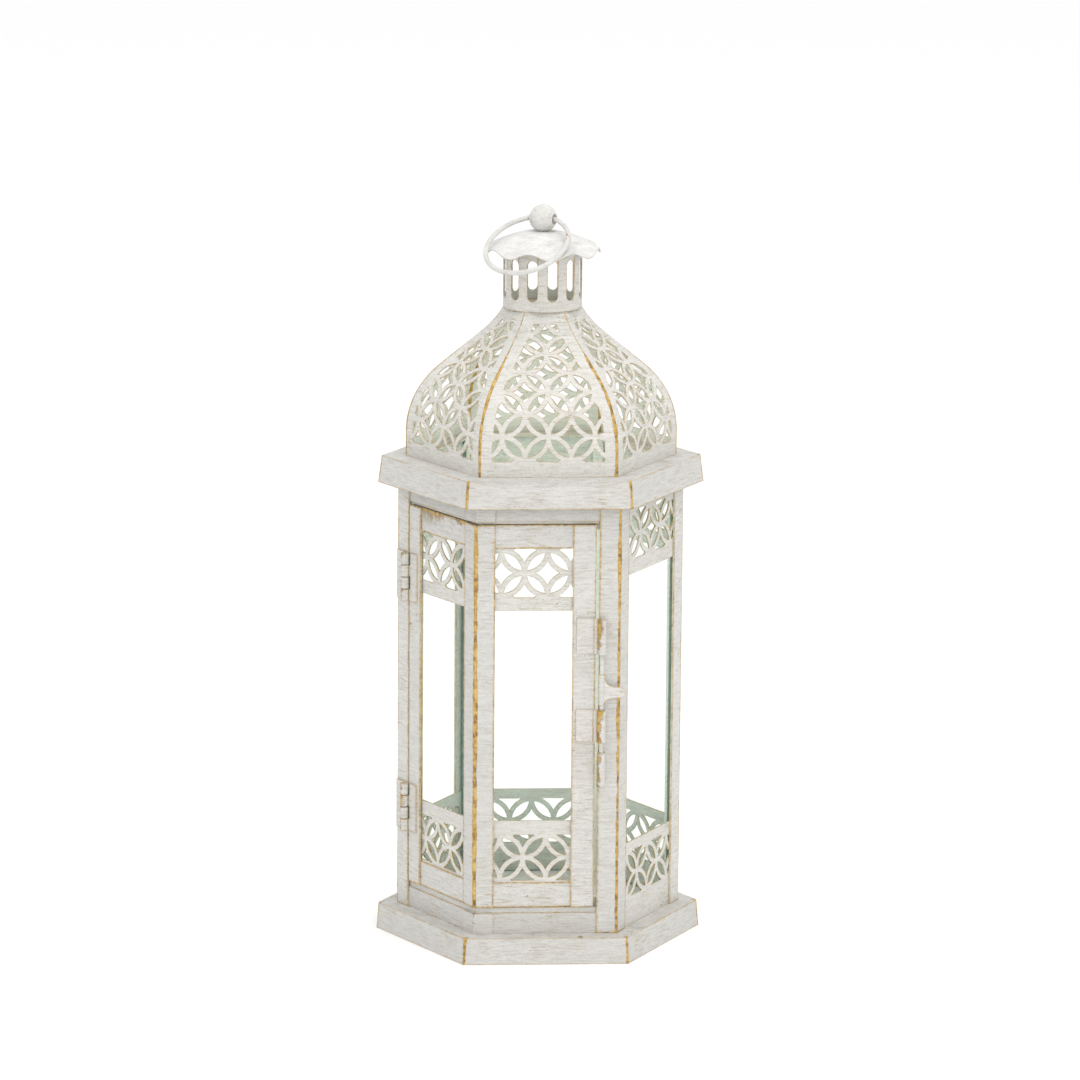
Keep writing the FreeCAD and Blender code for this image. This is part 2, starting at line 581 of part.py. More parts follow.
Z_STRIP_LOW = "(%s + dims.door_rail_low + dims.slip)" % Z_DOOR_LOW
Z_STRIP_HIGH = "(%s - dims.door_rail_high - dims.slip)" % Z_DOOR_HIGH
door_fold = bent_strip(
    "door_strip_fold", -120, A_DOOR_CAME, "dims.came_flange", "dims.came_flange", "dims.sheet_thickness",
    Z_STRIP_LOW, Z_STRIP_HIGH,
)
door_web = doc.addObject("Part::Box", "door_strip_web")
door_web.setExpression(
    "Length", "(%s - %s) / %s - dims.came_web / 2 * %s + dims.sheet_thickness / 2"
    % (A_BEHIND_POST, A_DOOR_CAME, COS30, TAN30),
)
door_web.setExpression("Width", "dims.came_web")
door_web.setExpression("Height", "%s - %s" % (Z_STRIP_HIGH, Z_STRIP_LOW))
door_web.Placement = FreeCAD.Placement(vec(0, 0, 0), FreeCAD.Rotation(Z_AXIS, -120))
DOOR_WEB_START = "(%s / %s - dims.sheet_thickness / 2)" % (A_DOOR_CAME, COS30)
door_web.setExpression("Placement.Base.x", "cos(-120 deg) * %s + sin(-120 deg) * dims.came_web / 2" % DOOR_WEB_START)
door_web.setExpression("Placement.Base.y", "sin(-120 deg) * %s - cos(-120 deg) * dims.came_web / 2" % DOOR_WEB_START)
door_web.setExpression("Placement.Base.z", Z_STRIP_LOW)
publish(fuse("door_strip_fuse", [door_fold, door_web]), "door_glazing_strip")

# ---- hinges: four knuckles, post and door in turn, with a pin through them
X_HINGE_AXIS = "(-1 * %s - dims.hinge_gap / 2)" % X_HINGE_EDGE
A_HINGE_AXIS = "(%s + dims.hinge_axis_stand_off)" % A_FACE
A_LEAF = "(%s + dims.hinge_leaf_thickness)" % A_FACE
KEEP_OFF = "(dims.hinge_barrel_radius + 2 * dims.knuckle_gap)"
for level, z_base in (
    ("lower", "(%s + dims.hinge_low)" % Z_DOOR_LOW),
    ("upper", "(%s - dims.hinge_high - dims.hinge_length)" % Z_DOOR_HIGH),
):
    z_end = "(%s + dims.hinge_length)" % z_base
    bore = rod("hinge_bore_" + level, LEFT, X_HINGE_AXIS, A_HINGE_AXIS,
               "dims.hinge_pin_radius + dims.pin_clearance",
               "%s - dims.knuckle_gap" % z_base, "%s + dims.knuckle_gap" % z_end)
    for owner, first, near, far in (
        ("door", 0, "(%s + %s)" % (X_HINGE_AXIS, KEEP_OFF), "(%s + dims.hinge_door_leaf)" % X_HINGE_AXIS),
        ("post", 1, "(%s - dims.hinge_post_leaf)" % X_HINGE_AXIS, "(%s - %s)" % (X_HINGE_AXIS, KEEP_OFF)),
    ):
        name = "hinge_%s_%s" % (level, owner)
        pieces = [slab(name + "_leaf", LEFT, near, far, A_LEAF, "dims.hinge_leaf_thickness", z_base, z_end)]
        for index in (first, first + 2):
            foot = "(%s + %d * dims.hinge_length / 4 + dims.knuckle_gap / 2)" % (z_base, index)
            head = "(%s + %d * dims.hinge_length / 4 - dims.knuckle_gap / 2)" % (z_base, index + 1)
            tag = "%s_%d" % (name, index)
            pieces.append(rod(tag + "_knuckle", LEFT, X_HINGE_AXIS, A_HINGE_AXIS, "dims.hinge_barrel_radius", foot, head))
            if owner == "door":
                low, high = X_HINGE_AXIS, "(%s + %s)" % (X_HINGE_AXIS, KEEP_OFF)
            else:
                low, high = "(%s - %s)" % (X_HINGE_AXIS, KEEP_OFF), X_HINGE_AXIS
            pieces.append(slab(tag + "_bridge", LEFT, low, high, A_LEAF, "dims.hinge_leaf_thickness", foot, head))
        publish(cut(name + "_cut", fuse(name + "_fuse", pieces), bore), "hinge_leaf_%s_%s" % (owner, level))
    pin = rod("hinge_pin_%s_rod" % level, LEFT, X_HINGE_AXIS, A_HINGE_AXIS, "dims.hinge_pin_radius",
              "%s - dims.knuckle_gap" % z_base, "%s + dims.knuckle_gap" % z_end)
    publish(pin, "hinge_pin_" + level)

# ---- drop-bolt latch: two guides on the door, a keeper on the post, a bolt with a lever
X_BOLT = "(%s - dims.latch_axis_inset)" % HALF_FACE
A_BOLT = "(%s + dims.latch_axis_stand_off)" % A_FACE
A_PLATE = "(%s + dims.latch_plate_thickness)" % A_FACE
A_BRIDGE = "(%s + dims.latch_axis_stand_off - dims.latch_barrel_radius + dims.latch_plate_thickness)" % A_FACE
X_PLATE_HIGH = X_LATCH_EDGE
X_PLATE_LOW = "(%s - dims.latch_plate_width)" % X_PLATE_HIGH
BORE = "dims.bolt_radius + dims.pin_clearance"
Z_GUIDE_HIGH_TOP = "(%s - dims.guide_high_drop)" % Z_DOOR_HIGH
Z_GUIDE_HIGH_LOW = "(%s - dims.guide_high_length)" % Z_GUIDE_HIGH_TOP
Z_GUIDE_LOW_TOP = "(%s - dims.guide_low_drop)" % Z_DOOR_HIGH
Z_GUIDE_LOW_LOW = "(%s - dims.guide_low_length)" % Z_GUIDE_LOW_TOP
for level, z_low, z_high in (("upper", Z_GUIDE_HIGH_LOW, Z_GUIDE_HIGH_TOP), ("lower", Z_GUIDE_LOW_LOW, Z_GUIDE_LOW_TOP)):
    name = "latch_guide_" + level
    plate = slab(name + "_plate", FRONT, X_PLATE_LOW, X_PLATE_HIGH, A_PLATE, "dims.latch_plate_thickness", z_low, z_high)
    rise = slab(
        name + "_rise", FRONT, "(%s - dims.latch_plate_thickness)" % X_PLATE_HIGH, X_PLATE_HIGH, A_BRIDGE,
        "(%s - %s)" % (A_BRIDGE, A_FACE), z_low, z_high,
    )
    bridge = slab(
        name + "_bridge", FRONT, "(%s - dims.latch_plate_thickness)" % X_PLATE_HIGH, X_BOLT, A_BRIDGE,
        "dims.latch_plate_thickness", z_low, z_high,
    )
    barrel = rod(name + "_barrel", FRONT, X_BOLT, A_BOLT, "dims.latch_barrel_radius", z_low, z_high)
    hole = rod(name + "_hole", FRONT, X_BOLT, A_BOLT, BORE, "%s - dims.slip" % z_low, "%s + dims.slip" % z_high)
    publish(cut(name + "_cut", fuse(name + "_fuse", [plate, rise, bridge, barrel]), hole), name)

Z_KEEPER_TOP = "(%s - dims.keeper_gap)" % Z_GUIDE_LOW_LOW
Z_KEEPER_LOW = "(%s - dims.keeper_length)" % Z_KEEPER_TOP
Z_BOLT_LOW = "(%s - dims.bolt_throw)" % Z_KEEPER_TOP
X_POST_EDGE = "(%s - dims.latch_post_flange)" % HALF_FACE
keeper_barrel = rod("keeper_barrel", FRONT, X_BOLT, A_BOLT, "dims.keeper_radius", Z_KEEPER_LOW, Z_KEEPER_TOP)
keeper_foot = slab(
    "keeper_foot", FRONT, X_POST_EDGE, "(%s + dims.keeper_radius)" % X_BOLT, A_BOLT,
    "dims.latch_axis_stand_off", Z_KEEPER_LOW, Z_KEEPER_TOP,
)
keeper_hole = rod(
    "keeper_hole", FRONT, X_BOLT, A_BOLT, BORE, Z_BOLT_LOW, "%s + dims.slip" % Z_KEEPER_TOP,
)
publish(cut("keeper_cut", fuse("keeper_fuse", [keeper_barrel, keeper_foot]), keeper_hole), "latch_keeper")

bolt_rod = rod("bolt_rod", FRONT, X_BOLT, A_BOLT, "dims.bolt_radius", Z_BOLT_LOW, "%s + dims.slip" % Z_GUIDE_HIGH_TOP)
Z_LEVER_TOP = "(%s - dims.lever_drop)" % Z_GUIDE_HIGH_LOW
Z_LEVER_LOW = "(%s - dims.lever_flare_high - dims.lever_root - dims.lever_flare_low)" % Z_LEVER_TOP
lever_sleeve = rod("lever_sleeve", FRONT, X_BOLT, A_BOLT, "dims.lever_sleeve_radius", Z_LEVER_LOW, Z_LEVER_TOP)
tongue_body = doc.addObject("PartDesign::Body", "lever_tongue_body")
tongue = tongue_body.newObject("Sketcher::SketchObject", "lever_tongue_outline")
tongue.AttachmentSupport = [(origin_plane(tongue_body, "XZ_Plane"), "")]
tongue.MapMode = "FlatFace"
rise, drop = dim("lever_flare_high"), dim("lever_flare_low")
root_x, flare = dim("lever_sleeve_radius"), dim("lever_flare_width")
root_half, tip_radius = dim("lever_root") / 2, dim("lever_tip") / 2
tip_centre = dim("lever_reach") - tip_radius


def quarter(height, sign):
    """The hollow curve from the boss's side out to the root of the tongue."""
    points = []
    for step in range(9):
        angle = math.radians(90 * step / 8.0)
        points.append(vec(root_x + flare * (1 - math.cos(angle)), sign * (root_half + height * (1 - math.sin(angle)))))
    return points


outline = [vec(0, root_half + rise)] + quarter(rise, 1)
for step in range(9):
    angle = math.radians(75 - 150 * step / 8.0)
    outline.append(vec(tip_centre + tip_radius * math.cos(angle), tip_radius * math.sin(angle)))
outline += list(reversed(quarter(drop, -1))) + [vec(0, -(root_half + drop))]
for index in range(len(outline)):
    tongue.addGeometry(Part.LineSegment(outline[index], outline[(index + 1) % len(outline)]), False)
for index in range(len(outline)):
    tongue.addConstraint(Sketcher.Constraint("Coincident", index, 2, (index + 1) % len(outline), 1))
tongue_pad = tongue_body.newObject("PartDesign::Pad", "lever_tongue_pad")
tongue_pad.Profile = tongue
tongue_pad.setExpression("Length", "dims.lever_thickness")
tongue_pad.Midplane = True
on_face(tongue_body, FRONT, X_BOLT, A_BOLT, "(%s + dims.lever_flare_low + dims.lever_root / 2)" % Z_LEVER_LOW)
publish(fuse("latch_bolt_fuse", [bolt_rod, lever_sleeve, tongue_body]), "latch_bolt")

# ---- dome: six folded gores, each bent to the same profile and pierced with the pattern
doc.recompute()
wall = dim("dome_wall")
shoulder_radius = dim("dome_shoulder_radius")
slope = math.radians(dim("dome_slope"))
throat = math.radians(dim("dome_throat_slope"))
foot_away = dim("dome_corner_radius") * math.cos(math.radians(30))
top_away = dim("dome_top_radius") * math.cos(math.radians(30))
turned = math.pi / 2 - slope
shoulder_away = foot_away - shoulder_radius * (1 - math.cos(turned))
shoulder_z = wall + shoulder_radius * math.sin(turned)
# straight run and throat radius that end exactly at the dome's top
fall = shoulder_away - top_away
climb = dim("dome_rise") - shoulder_z
sin_part = math.sin(throat) - math.sin(slope)
cos_part = math.cos(slope) - math.cos(throat)
determinant = math.cos(slope) * cos_part - math.sin(slope) * sin_part
straight = (fall * cos_part - climb * sin_part) / determinant
throat_radius = (climb * math.cos(slope) - fall * math.sin(slope)) / determinant
shoulder_arc = shoulder_radius * turned
throat_arc = throat_radius * (throat - slope)
gore_length = wall + shoulder_arc + straight + throat_arc
print("dome straight", round(straight, 2), "throat radius", round(throat_radius, 2), "length", round(gore_length, 2))


def profile(along):
    """Distance from the axis, height and slope angle at a length along the gore."""
    if along <= wall:
        return foot_away, along, math.pi / 2
    along -= wall
    if along <= shoulder_arc:
        angle = along / shoulder_radius
        away = foot_away - shoulder_radius * (1 - math.cos(angle))
        return away, wall + shoulder_radius * math.sin(angle), math.pi / 2 - angle
    along -= shoulder_arc
    if along <= straight:
        return shoulder_away - along * math.cos(slope), shoulder_z + along * math.sin(slope), slope
    along -= straight
    angle = slope + along / throat_radius
    away = shoulder_away - straight * math.cos(slope) - throat_radius * (math.sin(angle) - math.sin(slope))
    z = shoulder_z + straight * math.sin(slope) + throat_radius * (math.cos(slope) - math.cos(angle))
    return away, z, angle


def profile_curve(inset):
    """The gore's profile in the YZ plane, moved inwards by inset. Outwards is -Y."""
    def point(along):
        away, z, angle = profile(along)
        return vec(0, -(away - inset * math.sin(angle)), z - inset * math.cos(angle))
    marks = [0.0, wall, wall + shoulder_arc, wall + shoulder_arc + straight, gore_length]
    edges = [Part.makeLine(point(marks[0]), point(marks[1]))]
    edges.append(Part.Arc(point(marks[1]), point((marks[1] + marks[2]) / 2), point(marks[2])).toShape())
    edges.append(Part.makeLine(point(marks[2]), point(marks[3])))
    edges.append(Part.Arc(point(marks[3]), point((marks[3] + marks[4]) / 2), point(marks[4])).toShape())
    return edges, point(marks[0]), point(marks[4])


thickness = dim("panel_thickness")
outer_edges, outer_foot, outer_top = profile_curve(0.0)
inner_edges, inner_foot, inner_top = profile_curve(thickness)
foot_end = vec(0, -(foot_away - thickness - dim("dome_foot")), 0)
foot_lift = vec(0, 0, thickness)
section = list(outer_edges)
# the top edge is level, so that the neck's foot sits on it
away_top, z_top, angle_top = profile(gore_length)
level_inner = vec(0, -(away_top - thickness / math.sin(angle_top)), z_top)
section.append(Part.makeLine(outer_top, level_inner))
section.append(Part.makeLine(level_inner, inner_top))
section += list(reversed(inner_edges))
section[-1] = Part.makeLine(section[-1].Vertexes[-1].Point, inner_foot + foot_lift)
section.append(Part.makeLine(inner_foot + foot_lift, foot_end + foot_lift))
section.append(Part.makeLine(foot_end + foot_lift, foot_end))
section.append(Part.makeLine(foot_end, outer_foot))
band = Part.Face(Part.Wire(Part.__sortEdges__(section)))
reach = foot_away
long_band = band.extrude(vec(2 * reach, 0, 0))
long_band.translate(vec(-reach, 0, 0))
wedge_half = reach * 2 * math.tan(math.radians(30))
wedge_face = Part.Face(Part.makePolygon([vec(0, 0), vec(-wedge_half, -2 * reach), vec(wedge_half, -2 * reach), vec(0, 0)]))
wedge = wedge_face.extrude(vec(0, 0, 2 * dim("dome_rise")))
wedge.translate(vec(0, 0, -thickness))
gore_blank = long_band.common(wedge)

# pattern field of one gore, laid out flat: x across it, y along its length
field_low = dim("gore_plain_foot")
field_high = gore_length - dim("gore_plain_top")
left_side, right_side = [], []
steps = 40
for step in range(steps + 1):
    along = field_low + (field_high - field_low) * step / float(steps)
    half = profile(along)[0] * math.tan(math.radians(30)) - dim("gore_border")
    if half < 0.6:
        break
    left_side.append(vec(-half, along))
    right_side.append(vec(half, along))
field = Part.Face(Part.makePolygon(left_side + list(reversed(right_side)) + [left_side[0]]))
first_row = dim("gore_first_row")
holes = pattern_holes(foot_away * math.tan(math.radians(30)), gore_length, 1)
for hole in holes:
    hole.translate(vec(0, first_row))
cutters = []
for hole in clipped(holes, field, 1.3):
    centre = hole.CenterOfMass
    away, z, angle = profile(centre.y)
    prism = hole.extrude(vec(0, 0, 6 * thickness))
    # flat x, y, z become: across the gore, up its slope, outwards
    prism.translate(vec(0, -centre.y, -4 * thickness))
    prism.rotate(vec(0, 0, 0), vec(1, 0, 0), math.degrees(angle))
    prism.translate(vec(0, -away, z))
    cutters.append(prism)
pierced = gore_blank.cut(cutters)
gore_shape = max(pierced.Solids, key=lambda solid: solid.Volume)
print("gore openings", len(cutters), "solids", len(pierced.Solids))
for side, face in (("front", FRONT), ("left", LEFT), ("right", RIGHT)) + SIDES[1:]:
    gore = doc.addObject("Part::Feature", "gore_%s_shape" % side)
    gore.Shape = gore_shape.copy()
    gore.Placement = FreeCAD.Placement(vec(0, 0, number(Z_ROOF)), FreeCAD.Rotation(Z_AXIS, face))
    gore.setExpression("Placement.Base.z", Z_ROOF)
    publish(gore, "dome_gore_" + side)

# ---- vent neck: slotted tube with a foot plate, a top plate and a stem for the cap
neck_body = doc.addObject("PartDesign::Body", "neck_body")
neck_sketch = neck_body.newObject("Sketcher::SketchObject", "neck_section")
neck_sketch.AttachmentSupport = [(origin_plane(neck_body, "XZ_Plane"), "")]
neck_sketch.MapMode = "FlatFace"
t = dim("sheet_thickness")
neck_r, neck_h = dim("neck_radius"), dim("neck_height")
foot_r, stem_r, stem_h = dim("neck_foot_opening"), dim("stem_radius"), dim("cap_stand_off")
profile_points = [
    vec(foot_r, 0), vec(neck_r, 0), vec(neck_r, neck_h), vec(stem_r, neck_h), vec(stem_r, neck_h + stem_h),
    vec(0, neck_h + stem_h), vec(0, neck_h - t), vec(neck_r - t, neck_h - t), vec(neck_r - t, t), vec(foot_r, t),
]
count = len(profile_points)
for index in range(count):
    neck_sketch.addGeometry(Part.LineSegment(profile_points[index], profile_points[(index + 1) % count]), False)
rule = Sketcher.Constraint
for index in range(count):
    neck_sketch.addConstraint(rule("Coincident", index, 2, (index + 1) % count, 1))
    kind = "Horizontal" if index % 2 == 0 else "Vertical"
    neck_sketch.addConstraint(rule(kind, index))
neck_sketch.addConstraint(rule("PointOnObject", 0, 1, -1))
neck_sketch.addConstraint(rule("PointOnObject", 5, 2, -2))
for kind_args, size in (
    (("DistanceX", -1, 1, 0, 1, foot_r), "dims.neck_foot_opening"),
    (("DistanceX", -1, 1, 0, 2, neck_r), "dims.neck_radius"),
    (("DistanceY", 1, 1, 1, 2, neck_h), "dims.neck_height"),
    (("DistanceX", -1, 1, 3, 1, stem_r), "dims.stem_radius"),
    (("DistanceY", 3, 1, 3, 2, stem_h), "dims.cap_stand_off"),
    (("DistanceY", 6, 1, 1, 2, t), "dims.sheet_thickness"),
    (("DistanceX", 7, 2, 0, 2, t), "dims.sheet_thickness"),
    (("DistanceY", 9, 2, 9, 1, t), "dims.sheet_thickness"),
):
    at = neck_sketch.addConstraint(rule(*kind_args))
    neck_sketch.setExpression("Constraints[%d]" % at, size)
turned_neck = neck_body.newObject("PartDesign::Revolution", "neck_turned")
turned_neck.Profile = neck_sketch
turned_neck.ReferenceAxis = (neck_sketch, ["V_Axis"])
turned_neck.Angle = 360
neck_body.Tip = turned_neck
doc.recompute()
print("neck sketch solved", neck_sketch.solve(), neck_sketch.FullyConstrained)
slot_sketch = neck_body.newObject("Sketcher::SketchObject", "neck_slot")
slot_sketch.AttachmentSupport = [(origin_plane(neck_body, "XZ_Plane"), "")]
slot_sketch.MapMode = "FlatFace"
half_slot = dim("slot_width") / 2
slot_foot = dim("slot_low") + half_slot
slot_head = neck_h - dim("slot_high") - half_slot
slot_sketch.addGeometry(Part.LineSegment(vec(-half_slot, slot_head), vec(-half_slot, slot_foot)), False)
slot_sketch.addGeometry(
    Part.ArcOfCircle(Part.Circle(vec(0, slot_foot), Z_AXIS, half_slot), math.pi, 2 * math.pi), False,
)
slot_sketch.addGeometry(Part.LineSegment(vec(half_slot, slot_foot), vec(half_slot, slot_head)), False)
slot_sketch.addGeometry(
    Part.ArcOfCircle(Part.Circle(vec(0, slot_head), Z_AXIS, half_slot), 0, math.pi), False,
)
slot_sketch.addConstraint(rule("Tangent", 0, 2, 1, 1))
slot_sketch.addConstraint(rule("Tangent", 1, 2, 2, 1))
slot_sketch.addConstraint(rule("Tangent", 2, 2, 3, 1))
slot_sketch.addConstraint(rule("Tangent", 3, 2, 0, 1))
slot_sketch.addConstraint(rule("Vertical", 0))
slot_sketch.addConstraint(rule("PointOnObject", 1, 3, -2))
at = slot_sketch.addConstraint(rule("Radius", 1, half_slot))
slot_sketch.setExpression("Constraints[%d]" % at, "dims.slot_width / 2")
at = slot_sketch.addConstraint(rule("DistanceY", -1, 1, 1, 3, slot_foot))
slot_sketch.setExpression("Constraints[%d]" % at, "dims.slot_low + dims.slot_width / 2")
at = slot_sketch.addConstraint(rule("DistanceY", 1, 3, 3, 3, slot_head - slot_foot))
slot_sketch.setExpression(
    "Constraints[%d]" % at, "dims.neck_height - dims.slot_high - dims.slot_low - dims.slot_width",
)
doc.recompute()
before = neck_body.Shape.Volume
slot = neck_body.newObject("PartDesign::Pocket", "neck_slot_cut")
slot.Profile = slot_sketch
slot.Type = 0
slot.setExpression("Length", "2 * dims.neck_radius")
neck_body.Tip = slot
doc.recompute()
if neck_body.Shape.Volume > before - 1:
    slot.Reversed = True
    doc.recompute()
ring_of_slots = neck_body.newObject("PartDesign::PolarPattern", "neck_slots")
ring_of_slots.Originals = [slot]
ring_of_slots.Axis = (neck_sketch, ["V_Axis"])
ring_of_slots.Angle = 360
ring_of_slots.setExpression("Occurrences", "dims.slot_count")
neck_body.Tip = ring_of_slots
neck_body.Placement = FreeCAD.Placement(vec(0, 0, 0), FreeCAD.Rotation(Z_AXIS, dim("slot_turn")))
neck_body.setExpression("Placement.Base.z", Z_DOME_TOP)
doc.recompute()
print("neck volume", round(before, 1), "with slots", round(neck_body.Shape.Volume, 1))
publish(neck_body, "vent_neck")

# ---- cap: shallow crown whose rim runs in waves
crown, rim = dim("cap_rise"), dim("cap_radius")
wave, lobes = dim("cap_wave"), dim("cap_lobes")
first_low = math.radians(-90 + dim("cap_turn"))
cap_flat = 1.4 * dim("stem_radius")


def cap_height(x, y):
    r = math.hypot(x, y)
    around = math.atan2(y, x)
    # flat over the stem, then falling to the rim
    fall_off = max(0.0, (r - cap_flat) / (rim - cap_flat))
    swell = min(r / rim, 1.2) ** 3
    if r <= cap_flat:
        return 0.0
    return -crown * fall_off ** 1.7 - wave * swell * fall_off * math.cos(lobes * (around - first_low))


grid_steps = 56
span = 1.08 * rim
grid = []
for i in range(grid_steps + 1):
    x = -span + 2 * span * i / grid_steps
    grid.append([vec(x, -span + 2 * span * j / grid_steps) for j in range(grid_steps + 1)])
for line in grid:
    for point in line:
        point.z = cap_height(point.x, point.y)
surface = Part.BSplineSurface()
surface.interpolate(grid)
sheet_block = surface.toShape().extrude(vec(0, 0, dim("cap_thickness")))
cap_cylinder = Part.makeCylinder(rim, 4 * crown, vec(0, 0, -3 * crown))
cap = doc.addObject("Part::Feature", "cap_shape")
cap.Shape = max(sheet_block.common(cap_cylinder).Solids, key=lambda solid: solid.Volume)
cap.Placement = FreeCAD.Placement(vec(0, 0, number(Z_CAP_UNDER)), FreeCAD.Rotation())
cap.setExpression("Placement.Base.z", Z_CAP_UNDER)
publish(cap, "vent_cap")

# ---- finial bead with a cross hole, and the ring through it
bead_ball = doc.addObject("Part::Sphere", "bead_ball")
bead_ball.setExpression("Radius", "dims.bead_radius")
bead_ball.setExpression("Placement.Base.z", Z_BEAD)
seat = doc.addObject("Part::Cylinder", "bead_seat_cut")
seat.setExpression("Radius", "2 * dims.bead_radius")
seat.setExpression("Height", "2 * dims.bead_radius")
seat.setExpression("Placement.Base.z", "%s - 2 * dims.bead_radius" % Z_CAP_TOP)
ring_direction = math.radians(-90 + dim("ring_turn"))
hole_direction = ring_direction + math.pi / 2
hole_axis = vec(math.cos(hole_direction), math.sin(hole_direction))
cross_hole = doc.addObject("Part::Cylinder", "bead_cross_hole")
cross_hole.setExpression("Radius", "dims.bead_hole_radius")
cross_hole.setExpression("Height", "4 * dims.bead_radius")
cross_hole.Placement = FreeCAD.Placement(
    hole_axis * (-2 * dim("bead_radius")), FreeCAD.Rotation(Z_AXIS, hole_axis),
)
cross_hole.setExpression("Placement.Base.z", Z_BEAD)
publish(cut("bead_cut", cut("bead_seated", bead_ball, seat), cross_hole), "finial_bead")

droop = math.radians(dim("ring_droop"))
ring_offset = dim("ring_radius") - dim("ring_play")
hang = vec(
    math.cos(ring_direction) * math.cos(droop), math.sin(ring_direction) * math.cos(droop), -math.sin(droop),
)
ring_normal = hole_axis.cross(hang)
RING_Z = "(%s - (dims.ring_radius - dims.ring_play) * sin(dims.ring_droop * 1 deg))" % Z_BEAD
ring = doc.addObject("Part::Torus", "ring_torus")
ring.setExpression("Radius1", "dims.ring_radius")
ring.setExpression("Radius2", "dims.ring_wire_radius")
ring.Placement = FreeCAD.Placement(
    hang * ring_offset + vec(0, 0, number(Z_BEAD)), FreeCAD.Rotation(Z_AXIS, ring_normal),
)
ring.setExpression("Placement.Base.z", RING_Z)
publish(ring, "hanging_ring")

# ---- check every object, then write one file per sub-part
doc.recompute()
for obj in doc.Objects:
    if "Invalid" in obj.State or "Error" in obj.State:
        raise RuntimeError("%s failed: %s" % (obj.Name, obj.State))
labels = [obj.Label for obj in nodes]
if len(set(labels)) != len(labels):
    raise RuntimeError("two sub-parts share a name")
for obj in nodes:
    shape = obj.Shape
    if shape.isNull() or not shape.isValid():
        raise RuntimeError("%s has no valid shape" % obj.Label)
    if len(shape.Solids) != 1:
        raise RuntimeError("%s has %d solids" % (obj.Label, len(shape.Solids)))
for obj in nodes:
    obj.Shape.exportStep("parts/%s.step" % obj.Label)
print(len(nodes), "sub-parts")
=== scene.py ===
import bpy
import bmesh
import json
import math
from mathutils import Matrix, Vector


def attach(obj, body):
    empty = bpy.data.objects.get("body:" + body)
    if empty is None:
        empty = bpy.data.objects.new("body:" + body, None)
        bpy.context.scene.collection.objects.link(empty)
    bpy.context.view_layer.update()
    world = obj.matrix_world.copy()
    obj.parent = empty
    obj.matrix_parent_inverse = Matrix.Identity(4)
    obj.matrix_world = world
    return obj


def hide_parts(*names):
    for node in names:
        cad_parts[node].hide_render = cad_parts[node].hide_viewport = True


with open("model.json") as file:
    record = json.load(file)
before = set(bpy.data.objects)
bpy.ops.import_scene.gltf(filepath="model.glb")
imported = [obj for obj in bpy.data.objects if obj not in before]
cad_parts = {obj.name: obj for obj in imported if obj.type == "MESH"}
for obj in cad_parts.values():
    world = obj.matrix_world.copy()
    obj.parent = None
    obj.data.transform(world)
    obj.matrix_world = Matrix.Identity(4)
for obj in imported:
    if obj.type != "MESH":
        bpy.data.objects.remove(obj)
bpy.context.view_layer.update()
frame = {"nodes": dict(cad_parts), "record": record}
RECORD = frame["record"]
MM = 0.001


